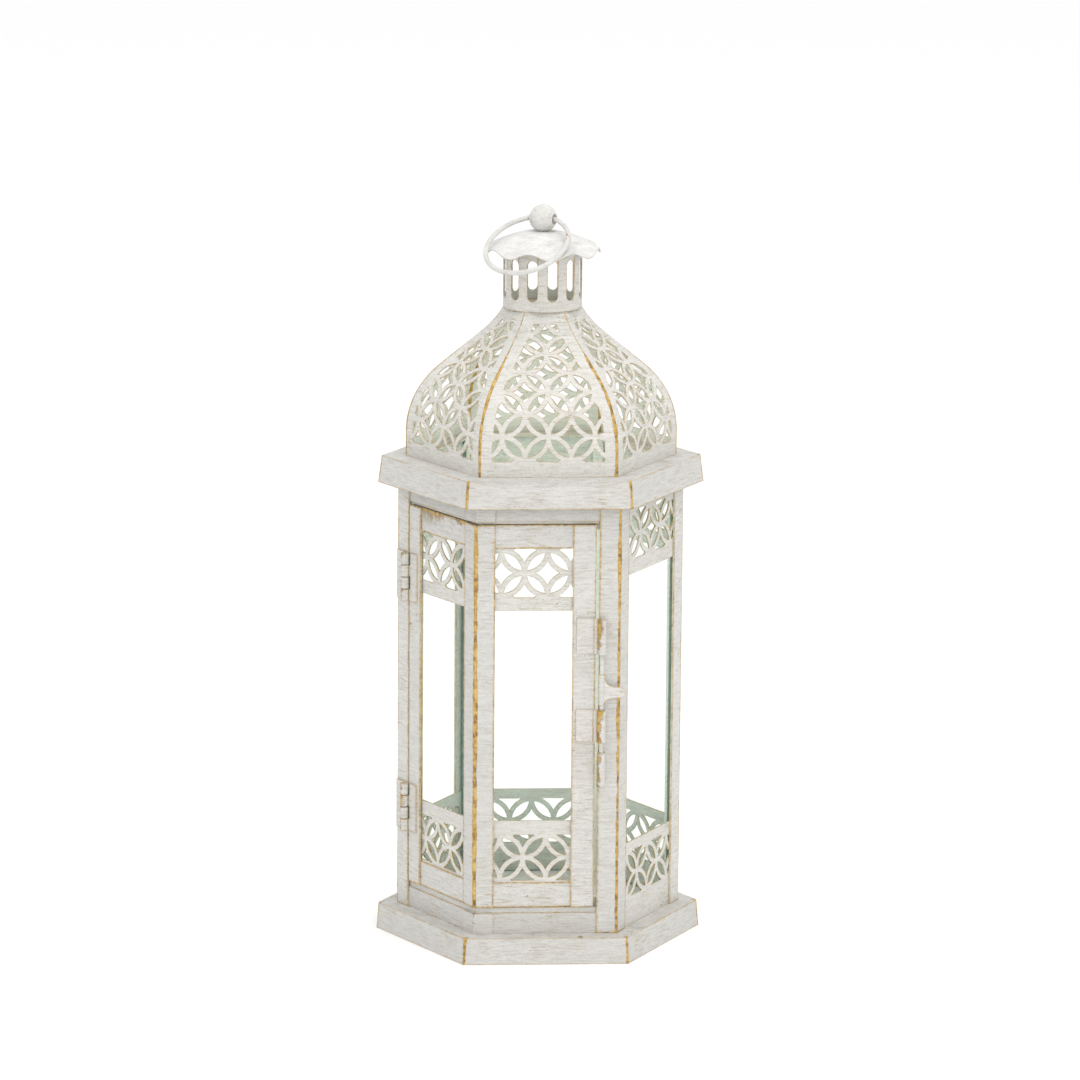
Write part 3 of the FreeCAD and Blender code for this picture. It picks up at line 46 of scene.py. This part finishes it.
# ---------------------------------------------------------------- node helpers
class Graph:
    """Short names for building one node tree."""

    def __init__(self, material):
        material.use_nodes = True
        self.tree = material.node_tree
        self.tree.nodes.clear()
        self.out = self.add("ShaderNodeOutputMaterial")

    def add(self, kind, **settings):
        node = self.tree.nodes.new(kind)
        for key, value in settings.items():
            setattr(node, key, value)
        return node

    def link(self, source, target):
        self.tree.links.new(source, target)

    def put(self, socket, value):
        if isinstance(value, bpy.types.NodeSocket):
            self.link(value, socket)
        else:
            socket.default_value = value

    def maths(self, operation, a, b=None, clamp=False):
        node = self.add("ShaderNodeMath", operation=operation, use_clamp=clamp)
        self.put(node.inputs[0], a)
        if b is not None:
            self.put(node.inputs[1], b)
        return node.outputs[0]

    def plus(self, a, b):
        return self.maths("ADD", a, b)

    def minus(self, a, b):
        return self.maths("SUBTRACT", a, b)

    def times(self, a, b, clamp=False):
        return self.maths("MULTIPLY", a, b, clamp)

    def larger(self, a, b, clamp=False):
        return self.maths("MAXIMUM", a, b, clamp)

    def length(self, a, b):
        """Length of the flat vector (a, b)."""
        return self.maths("SQRT", self.plus(self.times(a, a), self.times(b, b)))

    def position(self, scale=(1, 1, 1), offset=(0, 0, 0)):
        coords = self.add("ShaderNodeTexCoord")
        mapping = self.add("ShaderNodeMapping")
        mapping.inputs["Scale"].default_value = scale
        mapping.inputs["Location"].default_value = offset
        self.link(coords.outputs["Object"], mapping.inputs["Vector"])
        return mapping.outputs[0]

    def noise(self, vector, scale, detail=4.0, rough=0.6, distort=0.0):
        node = self.add("ShaderNodeTexNoise")
        self.link(vector, node.inputs["Vector"])
        node.inputs["Scale"].default_value = scale
        node.inputs["Detail"].default_value = detail
        node.inputs["Roughness"].default_value = rough
        node.inputs["Distortion"].default_value = distort
        return node.outputs["Fac"]

    def ramp(self, value, stops):
        node = self.add("ShaderNodeValToRGB")
        elements = node.color_ramp.elements
        while len(elements) < len(stops):
            elements.new(0.5)
        for element, (at, colour) in zip(elements, stops):
            element.position = at
            element.color = colour if len(colour) == 4 else (*colour, 1)
        self.link(value, node.inputs[0])
        return node.outputs["Color"]

    def span(self, value, low, high, to_low=0.0, to_high=1.0):
        node = self.add("ShaderNodeMapRange")
        self.link(value, node.inputs["Value"])
        node.inputs["From Min"].default_value = low
        node.inputs["From Max"].default_value = high
        node.inputs["To Min"].default_value = to_low
        node.inputs["To Max"].default_value = to_high
        return node.outputs[0]

    def mix(self, factor, a, b, blend="MIX"):
        node = self.add("ShaderNodeMix", data_type="RGBA", blend_type=blend)
        self.put(node.inputs[0], factor)
        for socket, value in ((node.inputs[6], a), (node.inputs[7], b)):
            if isinstance(value, bpy.types.NodeSocket):
                self.link(value, socket)
            else:
                socket.default_value = (*value, 1) if len(value) == 3 else value
        return node.outputs[2]


# ---------------------------------------------------------------- materials
# colours, linear RGB
CRUMB = (0.40, 0.37, 0.31)
GRIME = (0.40, 0.36, 0.28)
STREAK = (0.38, 0.34, 0.27)
THIN_DARK, THIN_LIGHT = (0.20, 0.15, 0.09), (0.40, 0.33, 0.22)
GOLD = [(0.34, (0.20, 0.115, 0.035)), (0.50, (0.47, 0.30, 0.085)), (0.66, (0.62, 0.43, 0.15))]
OLD_GOLD = [(0.36, (0.50, 0.48, 0.36)), (0.50, (0.36, 0.31, 0.17)), (0.62, (0.36, 0.25, 0.08))]
PANE_LIT = (1.12, 1.16, 1.12)

# where wear lies
EDGE_FLAT, EDGE_FULL = 0.998, 0.80              # rounded normal along the true one: on a face, on an edge
CORNER_PLANES = (0, 60, 120)                    # degrees about Z of the planes through opposite corners
CORNER_FAR, CORNER_NEAR = 1.3 * MM, 0.2 * MM    # from a corner plane: wear starts, wear is full
TOP_FADE, RIM_FADE = 14 * MM, 1.5 * MM
BARREL_SKIN = 0.5 * MM                          # how far outside its radius a barrel is still bare
BARREL_SIDES = (1.2 * MM, -1.6 * MM)            # across a barrel: painted side, rubbed side
INWARD_START, INWARD_FULL = -4 * MM, -14 * MM   # normal times place in the plan, towards the axis
WALL_NONE, WALL_FULL = 26 * MM, 14 * MM         # the same, for a cut wall seen side on
BUMP_DEPTH = 0.14 * MM


def whitewash(name, seed, tint, wear, reach=1.0, ridge=0.0, rubbed=0.0, grain=(150, 150, 1250),
              top=None, rim=None, barrel=None, dirt=1.0, walls=False):
    """White paint brushed over gold-coloured metal, rubbed through at edges and ridges.

    tint: colour of the paint.  wear: how much of the edges is bare, 0 to 1.
    reach: how far wear runs in from an edge, mm.
    ridge: wear on the six corner lines.  rubbed: bare spots away from the edges.
    grain: how fine the brushing is along X, Y and Z, per m.
    top: height above which the corner lines keep their paint, m.
    rim: distance from the axis inside which the corner lines keep their paint, m.
    barrel: (x, y, radius) of an upright barrel rubbed bare, m.
    dirt: strength of the grey-brown marks.
    walls: the thin cut walls of a pierced sheet show old gold.
    """
    material = bpy.data.materials.new(name)
    g = Graph(material)
    parts = g.add("ShaderNodeSeparateXYZ")
    g.link(g.position(), parts.inputs[0])
    x, y, z = parts.outputs

    # paint: fine dry-brush grain and grit, with a slow drift of tone
    fine = g.noise(g.position(grain, (seed, 0, seed)), 1.0, 5, 0.68, 0.25)
    grit = g.noise(g.position((1, 1, 1.3), (seed, 8, 1)), 1500, 3, 0.7)
    drift = g.noise(g.position((28, 28, 60), (0, seed, 3)), 1.0, 3, 0.5)
    crumb = g.noise(g.position((1, 1, 1.6), (seed, 4, 2)), 900, 2, 0.55)
    pale = tuple(min(1, k * 1.15) for k in tint)
    dull = (tint[0] * 0.80, tint[1] * 0.79, tint[2] * 0.76)
    paint = g.ramp(g.plus(g.times(fine, 0.6), g.times(grit, 0.4)),
                   [(0.36, dull), (0.50, tint), (0.64, pale)])
    paint = g.mix(g.span(drift, 0.35, 0.65, 0.0, 0.35), paint, tuple(k * 0.93 for k in tint))
    paint = g.mix(g.span(crumb, 0.58, 0.76, 0.0, 0.55 * dirt), paint, CRUMB)

    # edge: 0 on a flat face, 1 on an edge
    bevel = g.add("ShaderNodeBevel", samples=8)
    bevel.inputs["Radius"].default_value = reach * MM
    geometry = g.add("ShaderNodeNewGeometry")
    dot = g.add("ShaderNodeVectorMath", operation="DOT_PRODUCT")
    g.link(bevel.outputs[0], dot.inputs[0])
    g.link(geometry.outputs["Normal"], dot.inputs[1])
    edge = g.span(dot.outputs["Value"], EDGE_FLAT, EDGE_FULL)
    # corner: 1 on the nearest of the three corner planes, 0 away from it
    off = []
    for degrees in CORNER_PLANES:
        c, s = math.cos(math.radians(degrees)), math.sin(math.radians(degrees))
        off.append(g.maths("ABSOLUTE", g.minus(g.times(x, s), g.times(y, c))))
    nearest = g.maths("MINIMUM", off[0], g.maths("MINIMUM", off[1], off[2]))
    corner = g.span(nearest, CORNER_FAR, CORNER_NEAR)
    if top is not None:
        corner = g.times(corner, g.span(z, top, top - TOP_FADE))
    if rim is not None:
        corner = g.times(corner, g.span(g.length(x, y), rim, rim + RIM_FADE))

    ragged = g.noise(g.position((1, 1, 0.8), (4, 2, seed)), 420, 4, 0.7)
    runs = g.noise(g.position((1, 1, 1), (seed, 1, 2)), 46, 3, 0.6)
    uneven = g.plus(g.times(g.minus(ragged, 0.5), 1.1), g.times(g.minus(runs, 0.5), 1.9))
    rub = g.plus(edge, uneven)
    edge_bare = g.times(g.span(rub, 1.12 - wear, 1.32 - wear), g.span(edge, 0.02, 0.25))
    grime = g.times(g.span(rub, 0.25, 1.1), g.span(edge, 0.0, 0.15))
    rub = g.plus(corner, g.times(uneven, 0.8))
    ridge_bare = g.times(g.span(rub, 1.18 - ridge, 1.34 - ridge), g.span(corner, 0.02, 0.25))
    # short brushed-through dashes, thin along the stroke, and chips
    where = g.noise(g.position((1, 1, 1), (seed, 6, 6)), 70, 3, 0.6)
    dash = g.noise(g.position((150, 150, 2700), (seed, 9, 4)), 1.0, 3, 0.6, 0.1)
    dash_less = 0.10 * rubbed
    dash = g.span(g.plus(dash, g.times(where, 0.42)), 0.915 - dash_less, 0.975 - dash_less)
    chip = g.noise(g.position((1, 1, 1), (2, seed, 7)), 760, 3, 0.6)
    chip_less = 0.13 * rubbed
    chip = g.span(g.plus(chip, g.times(where, 0.35)), 0.915 - chip_less, 0.955 - chip_less)
    loose = g.larger(g.times(dash, 0.75), chip)
    if barrel is not None:
        aside = g.minus(x, barrel[0])
        away = g.length(aside, g.minus(y, barrel[1]))
        skin = g.span(away, barrel[2] + BARREL_SKIN, barrel[2])
        rub = g.plus(skin, g.span(aside, *BARREL_SIDES, -0.35, 0.25))
        rub = g.plus(rub, g.times(uneven, 1.1))
        loose = g.larger(loose, g.times(g.span(rub, 1.02, 1.35), skin))
    # grime beside the edges, then grey-brown streaks
    paint = g.mix(g.times(grime, 0.55, clamp=True), paint, GRIME)
    streaks = g.noise(g.position((170, 170, 2100), (seed, 2, 8)), 1.0, 4, 0.7, 0.1)
    streaks = g.span(g.plus(streaks, g.times(where, 0.25)), 0.665, 0.78, 0.0, 0.50 * dirt)
    paint = g.mix(streaks, paint, STREAK)
    bare = g.larger(g.larger(edge_bare, ridge_bare), loose, clamp=True)

    # paint thins to a brown line before the gold shows
    mottle = g.noise(g.position((1, 1, 1), (seed, 3, 3)), 520, 4, 0.6)
    gold = g.ramp(mottle, GOLD)
    brown = g.mix(g.span(mottle, 0.3, 0.7), THIN_DARK, THIN_LIGHT)
    thinned = g.mix(g.span(bare, 0.05, 0.55), paint, brown)
    colour = g.mix(g.span(bare, 0.50, 0.85), thinned, gold)

    # surfaces that look towards the lantern's axis catch the light tinted by the panes
    coords = g.add("ShaderNodeTexCoord")
    outward = g.add("ShaderNodeVectorMath", operation="DOT_PRODUCT")
    level = g.add("ShaderNodeCombineXYZ")
    g.link(x, level.inputs[0])
    g.link(y, level.inputs[1])
    g.link(level.outputs[0], outward.inputs[0])
    g.link(coords.outputs["Normal"], outward.inputs[1])
    inward = g.span(outward.outputs["Value"], INWARD_START, INWARD_FULL)
    colour = g.mix(inward, colour, g.mix(1.0, colour, PANE_LIT, "MULTIPLY"))
    if walls:
        # cut walls look neither outward nor inward
        across = g.maths("ABSOLUTE", outward.outputs["Value"])
        wall = g.span(across, WALL_NONE, WALL_FULL)
        old = g.ramp(g.plus(mottle, g.times(g.minus(runs, 0.5), 0.8)), OLD_GOLD)
        colour = g.mix(g.times(wall, 0.85), colour, old)

    shader = g.add("ShaderNodeBsdfPrincipled")
    g.link(colour, shader.inputs["Base Color"])
    g.link(g.times(bare, 0.35), shader.inputs["Metallic"])
    rough = g.span(fine, 0.3, 0.7, 0.66, 0.50)
    g.link(g.plus(rough, g.times(bare, -0.12)), shader.inputs["Roughness"])
    g.link(g.span(drift, 0.3, 0.7, 0.25, 0.35), shader.inputs["Specular IOR Level"])
    height = g.plus(g.times(fine, 0.6), g.times(crumb, 0.35))
    height = g.plus(height, g.times(bare, -0.5))
    bump = g.add("ShaderNodeBump")
    bump.inputs["Strength"].default_value = 0.45
    bump.inputs["Distance"].default_value = BUMP_DEPTH
    g.link(height, bump.inputs["Height"])
    g.link(bump.outputs[0], shader.inputs["Normal"])
    g.link(shader.outputs[0], g.out.inputs["Surface"])
    return material


def pane_glass(name):
    """Clear soda glass: nearly invisible face on, faintly green, a few dust marks."""
    material = bpy.data.materials.new(name)
    g = Graph(material)
    dust = g.noise(g.position((1, 1, 1)), 900, 3, 0.6)
    smear = g.noise(g.position((18, 18, 6)), 1.0, 4, 0.6, 0.5)
    clear = g.add("ShaderNodeBsdfTransparent")
    through = g.ramp(smear, [(0.3, (0.972, 0.990, 0.980)), (0.7, (0.985, 0.996, 0.990))])
    g.link(through, clear.inputs["Color"])
    shine = g.add("ShaderNodeBsdfPrincipled")
    surface = g.ramp(dust, [(0.4, (0.80, 0.86, 0.82)), (0.7, (0.90, 0.93, 0.90))])
    g.link(surface, shine.inputs["Base Color"])
    g.link(g.span(smear, 0.3, 0.7, 0.015, 0.06), shine.inputs["Roughness"])
    both = g.add("ShaderNodeMixShader")
    veil = g.plus(g.span(smear, 0.35, 0.75, 0.012, 0.03), g.span(dust, 0.72, 0.80, 0.0, 0.2))
    g.link(veil, both.inputs[0])
    g.link(clear.outputs[0], both.inputs[1])
    g.link(shine.outputs[0], both.inputs[2])
    g.link(both.outputs[0], g.out.inputs["Surface"])
    return material


def edge_glass(name):
    """The cut edge of a pane, where the glass's own green shows."""
    material = bpy.data.materials.new(name)
    g = Graph(material)
    grain = g.noise(g.position((1, 1, 0.25)), 1400, 3, 0.6)
    shader = g.add("ShaderNodeBsdfPrincipled")
    green = g.ramp(grain, [(0.35, (0.16, 0.32, 0.25)), (0.65, (0.44, 0.62, 0.54))])
    g.link(green, shader.inputs["Base Color"])
    g.link(g.span(grain, 0.3, 0.7, 0.12, 0.35), shader.inputs["Roughness"])
    shader.inputs["Alpha"].default_value = 0.85
    g.link(shader.outputs[0], g.out.inputs["Surface"])
    return material


def middle(node):
    """Middle of a node's box, in the frame."""
    obj = frame["nodes"][node]
    corners = [obj.matrix_world @ Vector(c) for c in obj.bound_box]
    return sum(corners, Vector()) / len(corners)


BOLT_IN_KEEPER = 1.7 * MM       # from the keeper's front face to the bolt's axis
BARREL_RADIUS = 1.8 * MM        # of the bare barrels, with a little play
DOME_TOP_KEPT = 0.256           # the dome's ridges keep their paint above this height, m
COLLAR_KEPT = 0.0635            # the trays' ridges keep their paint nearer the axis than this, m
BOLT_AXIS = middle("latch_keeper")
BOLT_AXIS.y = min(v.co.y for v in frame["nodes"]["latch_keeper"].data.vertices) + BOLT_IN_KEEPER
HINGE_AXIS = middle("hinge_pin_lower")

MATERIALS = {
    "band": whitewash("whitewash_band", 3.0, (0.545, 0.535, 0.51), wear=0.40, rubbed=0.24),
    "door": whitewash("whitewash_door", 11.0, (0.582, 0.572, 0.548), wear=0.96, reach=1.5, rubbed=0.24),
    "door_corner": whitewash("whitewash_door_corner", 17.0, (0.557, 0.547, 0.526), wear=1.0, reach=1.6,
                             ridge=0.92, rubbed=0.24),
    "latch_post": whitewash("whitewash_latch_post", 19.0, (0.562, 0.552, 0.528), wear=1.0, reach=1.6,
                            ridge=0.66, rubbed=0.24),
    "post": whitewash("whitewash_post", 27.0, (0.60, 0.59, 0.565), wear=0.95, reach=1.4, ridge=0.40,
                      rubbed=0.24),
    "pierced": whitewash("whitewash_pierced", 5.0, (0.60, 0.59, 0.555), wear=0.82, reach=0.55,
                         rubbed=0.15, walls=True),
    "dome": whitewash("whitewash_dome", 8.0, (0.61, 0.60, 0.565), wear=0.84, reach=0.6, ridge=0.66,
                      rubbed=0.18, top=DOME_TOP_KEPT),
    "trays": whitewash("whitewash_trays", 23.0, (0.550, 0.540, 0.517), wear=0.72, reach=1.1, ridge=0.70,
                       rubbed=0.24, rim=COLLAR_KEPT),
    "neck": whitewash("whitewash_neck", 41.0, (0.585, 0.575, 0.54), wear=0.72, reach=0.8, rubbed=0.2),
    "crown": whitewash("whitewash_cap", 29.0, (0.655, 0.65, 0.64), wear=0.35, reach=0.7,
                       grain=(140, 140, 500), dirt=0.3),
    "round": whitewash("whitewash_round", 33.0, (0.61, 0.605, 0.585), wear=0.35, reach=0.5, rubbed=0.35,
                       grain=(220, 220, 600), dirt=0.5),
    "latch": whitewash("whitewash_latch", 35.0, (0.59, 0.575, 0.55), wear=0.62, reach=0.7,
                       barrel=(BOLT_AXIS.x, BOLT_AXIS.y, BARREL_RADIUS)),
    "hinge": whitewash("whitewash_hinge", 45.0, (0.59, 0.575, 0.55), wear=0.86,
                       barrel=(HINGE_AXIS.x, HINGE_AXIS.y, BARREL_RADIUS)),
    "bolt": whitewash("rubbed_bolt", 31.0, (0.60, 0.59, 0.56), wear=0.74, reach=0.8, rubbed=0.25,
                      grain=(200, 200, 900)),
    # painted light: the glazing strips' paint is tinted green, a painted stand-in for light coming in
    # through the panes
    "inner": whitewash("whitewash_inner_painted_pane_light", 37.0, (0.62, 0.64, 0.61), wear=0.30, reach=0.6),
    # painted light: the door stop's paint is far paler and greener than the rest of the whitewash, a
    # painted stand-in for light through the panes lifting the shade in the door gaps
    "stop": whitewash("whitewash_stop_painted_light", 39.0, (0.86, 0.90, 0.87), wear=0.20, reach=0.5),
    "glass": pane_glass("window_glass"),
    "glass_edge": edge_glass("window_glass_edge"),
}

# the start of a node's name and its material; the first that fits is taken
BY_START = (
    ("dome_gore", "dome"),
    ("door_stop", "stop"),
    ("door_corner_post", "door_corner"),
    ("latch_post", "latch_post"),
    ("hinge_post", "post"),
    ("post_", "post"),
    ("hanging_ring", "round"),
    ("finial_bead", "round"),
    ("hinge_leaf", "hinge"),
    ("hinge_pin", "hinge"),
    ("latch_guide", "latch"),
    ("latch_keeper", "latch"),
    ("latch_bolt", "bolt"),
    ("door_", "door"),
    ("frame_", "band"),
    ("base_tray", "trays"),
    ("roof_tray", "trays"),
    ("vent_neck", "neck"),
    ("vent_cap", "crown"),
)


def choose(node):
    """Name of a node's material."""
    if "panel" in node:
        return "pierced"
    if "glazing_strip" in node:
        return "inner"
    return next(look for start, look in BY_START if node.startswith(start))


# width of the rounded edges, mm
BEVELS = {"base_tray": 0.35, "roof_tray": 0.35, "vent_cap": 0.25, "vent_neck": 0.2,
          "finial_bead": 0.35, "hanging_ring": 0.0}
PIERCED_BEVEL, OTHER_BEVEL = 0.10, 0.16
EDGE_ANGLE = math.radians(40)       # edges that turn less stay as they are
WELD = 0.002 * MM
PANE_WELD, PANE_BEVEL, PANE_FLAT = 0.001 * MM, 0.15 * MM, 0.02


def finish_cad(node, obj):
    """Material, welded edges and a fine rounded edge on a carried-over node."""
    obj.data.materials.clear()
    obj.data.materials.append(MATERIALS[choose(node)])
    for polygon in obj.data.polygons:
        polygon.material_index = 0
    weld = obj.modifiers.new("weld", "WELD")
    weld.merge_threshold = WELD
    width = BEVELS.get(node, PIERCED_BEVEL if ("panel" in node or "gore" in node) else OTHER_BEVEL)
    if width:
        bevel = obj.modifiers.new("edge", "BEVEL")
        bevel.width = width * MM
        bevel.segments = 2
        bevel.limit_method = "ANGLE"
        bevel.angle_limit = EDGE_ANGLE
        bevel.use_clamp_overlap = True


def glass_pane(node, obj):
    """A pane with ground edges: clear faces and green edges."""
    mesh = obj.data.copy()
    mesh.name = "pane_" + node
    piece = bpy.data.objects.new("pane_" + node, mesh)
    bpy.context.scene.collection.objects.link(piece)
    mesh.materials.clear()
    mesh.materials.append(MATERIALS["glass"])
    mesh.materials.append(MATERIALS["glass_edge"])
    bm = bmesh.new()
    bm.from_mesh(mesh)
    bmesh.ops.remove_doubles(bm, verts=bm.verts, dist=PANE_WELD)
    bmesh.ops.dissolve_limit(bm, angle_limit=PANE_FLAT, verts=bm.verts, edges=bm.edges)
    largest = max(face.calc_area() for face in bm.faces)
    for face in bm.faces:
        face.material_index = 0 if face.calc_area() > 0.5 * largest else 1
        face.smooth = False
    bmesh.ops.bevel(bm, geom=list(bm.edges), offset=PANE_BEVEL, segments=1, affect="EDGES", material=1)
    bm.to_mesh(mesh)
    bm.free()
    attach(piece, body_of[node])
    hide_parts(node)


body_of = {}
for body, members in RECORD["behaviour"]["bodies"].items():
    for member in members:
        body_of[member] = body

for node, obj in list(frame["nodes"].items()):
    if "glass" in node:
        glass_pane(node, obj)
    else:
        finish_cad(node, obj)

# ---------------------------------------------------------------- floor, light, camera
FLOOR_HALF = 6.0                # m
WORLD_STRENGTH = 1.03


def make_floor():
    mesh = bpy.data.meshes.new("floor")
    bm = bmesh.new()
    bmesh.ops.create_grid(bm, x_segments=1, y_segments=1, size=FLOOR_HALF)
    bm.to_mesh(mesh)
    bm.free()
    floor = bpy.data.objects.new("floor", mesh)
    bpy.context.scene.collection.objects.link(floor)
    material = bpy.data.materials.new("pale_floor")
    g = Graph(material)
    shader = g.add("ShaderNodeBsdfPrincipled")
    shader.inputs["Base Color"].default_value = (0.95, 0.95, 0.95, 1)
    shader.inputs["Roughness"].default_value = 0.9
    shader.inputs["Specular IOR Level"].default_value = 0.1
    g.link(shader.outputs[0], g.out.inputs["Surface"])
    mesh.materials.append(material)


def make_lamp(name, kind, place, power, colour):
    data = bpy.data.lights.new(name, kind)
    data.energy = power
    data.color = colour
    lamp = bpy.data.objects.new(name, data)
    bpy.context.scene.collection.objects.link(lamp)
    lamp.location = place
    lamp.visible_camera = False
    return lamp


def area_light(name, place, size, power, colour):
    """A soft box that looks at the middle of the lantern."""
    lamp = make_lamp(name, "AREA", place, power, colour)
    lamp.data.shape = "RECTANGLE"
    lamp.data.size, lamp.data.size_y = size
    lamp.rotation_euler = (LIT - Vector(place)).to_track_quat("-Z", "Y").to_euler()


def fill_light(name, height, power):
    """A small soft lamp inside, so the far walls read through the panes."""
    lamp = make_lamp(name, "POINT", (0, 0, height), power, (0.97, 1.0, 0.97))
    lamp.data.shadow_soft_size = 0.02
    lamp.visible_glossy = False


make_floor()

world = bpy.data.worlds.new("studio")
bpy.context.scene.world = world
world.use_nodes = True
background = world.node_tree.nodes["Background"]
background.inputs["Color"].default_value = (1.0, 1.0, 1.0, 1)
background.inputs["Strength"].default_value = WORLD_STRENGTH

LIT = Vector((0, 0, 0.15))
area_light("overhead", (0.1, -0.3, 1.6), (1.2, 1.2), 7.5, (1.0, 0.998, 0.99))
area_light("front", (0.30, -2.0, 0.8), (0.7, 1.0), 7.0, (1.0, 0.965, 0.90))
fill_light("fill_low", 0.075, 0.030)
fill_light("fill_high", 0.170, 0.030)
fill_light("fill_dome", 0.225, 0.008)

# the camera as fitted to points of the photograph
PHOTO_WIDTH, FOCAL_PIXELS, SENSOR = 1080, 5809.108, 36
AZIMUTH, ELEVATION, ROLL = math.radians(-3.42), math.radians(11.857), math.radians(-0.448)
DISTANCE, AIM_HEIGHT, AIM_SIDE = 2.4037, 0.16545, -0.00026      # m
FAR_CLIP = 50

right = Vector((math.cos(AZIMUTH), math.sin(AZIMUTH), 0))
back = Vector((math.sin(AZIMUTH) * math.cos(ELEVATION), -math.cos(AZIMUTH) * math.cos(ELEVATION),
               math.sin(ELEVATION)))
up = back.cross(right)
camera_data = bpy.data.cameras.new("camera")
camera = bpy.data.objects.new("camera", camera_data)
bpy.context.scene.collection.objects.link(camera)
camera_data.sensor_width = SENSOR
camera_data.lens = FOCAL_PIXELS / PHOTO_WIDTH * SENSOR
camera_data.clip_end = FAR_CLIP
place = Vector((0, 0, AIM_HEIGHT)) + right * AIM_SIDE + back * DISTANCE
side = right * math.cos(ROLL) - up * math.sin(ROLL)
top = right * math.sin(ROLL) + up * math.cos(ROLL)
camera.matrix_world = Matrix((
    (side.x, top.x, back.x, place.x),
    (side.y, top.y, back.y, place.y),
    (side.z, top.z, back.z, place.z),
    (0, 0, 0, 1),
))
bpy.context.scene.camera = camera
bpy.context.scene.view_settings.view_transform = "Standard"
